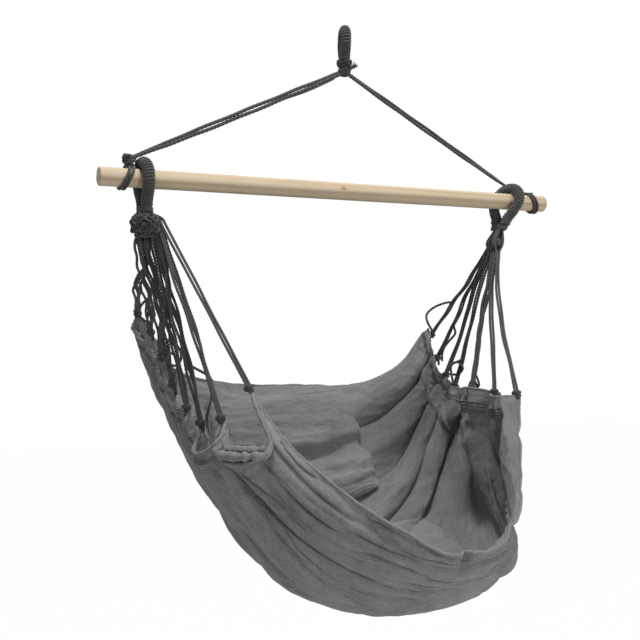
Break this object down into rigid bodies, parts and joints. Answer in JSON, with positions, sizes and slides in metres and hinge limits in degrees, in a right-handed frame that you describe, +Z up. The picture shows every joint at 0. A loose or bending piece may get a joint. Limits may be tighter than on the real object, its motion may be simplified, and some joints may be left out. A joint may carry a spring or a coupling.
{
  "type": "hammock chair",
  "caption": "Hammock chair: a cloth seat gathered at both ends and hung by fans of cords from a wooden spreader bar, with loose back and seat cushions.",
  "frame": {"origin": "where the hook bears, inside the top of the hanging loop", "axes": "+Z up, +X along the spreader bar towards the right of the sitter's front view, +Y towards the back of the seat"},
  "size_m": [1, 0.6425, 1.136],
  "materials": {
    "pine": "planed and bare",
    "charcoal_cord": "twisted cotton",
    "grey_cloth": "plain weave",
    "cushion_cloth": "plain weave"
  },
  "bodies": {
    "hanging_eye": {"hanging_loop_core": "charcoal_cord", "hanging_loop_whipping": "charcoal_cord"},
    "neck": {"neck_seizing": "charcoal_cord", "neck_rope_tail": "charcoal_cord"},
    "fork": {"neck_knot": "charcoal_cord"},
    "spreader": {"spreader_bar": "pine", "left_bar_hitch": "charcoal_cord", "left_hitch_knot": "charcoal_cord", "left_hanging_rope_front": "charcoal_cord", "left_hanging_rope_back": "charcoal_cord", "right_bar_hitch": "charcoal_cord", "right_hitch_knot": "charcoal_cord", "right_hanging_rope_front": "charcoal_cord", "right_hanging_rope_back": "charcoal_cord"},
    "seat": {"left_eye_core": "charcoal_cord", "left_eye_whipping": "charcoal_cord", "left_eye_seizing": "charcoal_cord", "left_clew": "charcoal_cord", "right_eye_core": "charcoal_cord", "right_eye_whipping": "charcoal_cord", "right_eye_seizing": "charcoal_cord", "right_clew": "charcoal_cord", "seat_cloth": "grey_cloth", "left_cord_1": "charcoal_cord", "left_cord_2": "charcoal_cord", "left_cord_3": "charcoal_cord", "left_cord_4": "charcoal_cord", "left_cord_5": "charcoal_cord", "left_cord_6": "charcoal_cord", "left_cord_7": "charcoal_cord", "left_cord_8": "charcoal_cord", "right_cord_1": "charcoal_cord", "right_cord_2": "charcoal_cord", "right_cord_3": "charcoal_cord", "right_cord_4": "charcoal_cord", "right_cord_5": "charcoal_cord", "right_cord_6": "charcoal_cord", "right_cord_7": "charcoal_cord", "right_cord_8": "charcoal_cord"},
    "back_cushion": {"back_cushion": "cushion_cloth"},
    "seat_cushion": {"seat_cushion": "cushion_cloth"}
  },
  "joints": [
    {"name": "turn", "type": "hinge", "parent": "hanging_eye", "child": "neck", "pos_m": [0, 0, -0.0513], "axis": [0, 0, 1], "range_deg": [-90, 90]},
    {"name": "sway", "type": "hinge", "parent": "neck", "child": "fork", "pos_m": [0, 0, -0.0736], "axis": [0, 1, 0], "range_deg": [-12, 12]},
    {"name": "swing", "type": "hinge", "parent": "fork", "child": "spreader", "pos_m": [0, 0, -0.0736], "axis": [1, 0, 0], "range_deg": [-25, 25]},
    {"name": "seat_swing", "type": "hinge", "parent": "spreader", "child": "seat", "pos_m": [0, 0, -0.315], "axis": [1, 0, 0], "range_deg": [-30, 30]},
    {"name": "back_cushion_lift", "type": "slide", "parent": "seat", "child": "back_cushion", "axis": [0, -0.6429, 0.7659], "range_m": [0, 0.9]},
    {"name": "seat_cushion_lift", "type": "slide", "parent": "seat", "child": "seat_cushion", "axis": [0, -0.2161, 0.9764], "range_m": [0, 0.6]}
  ]
}
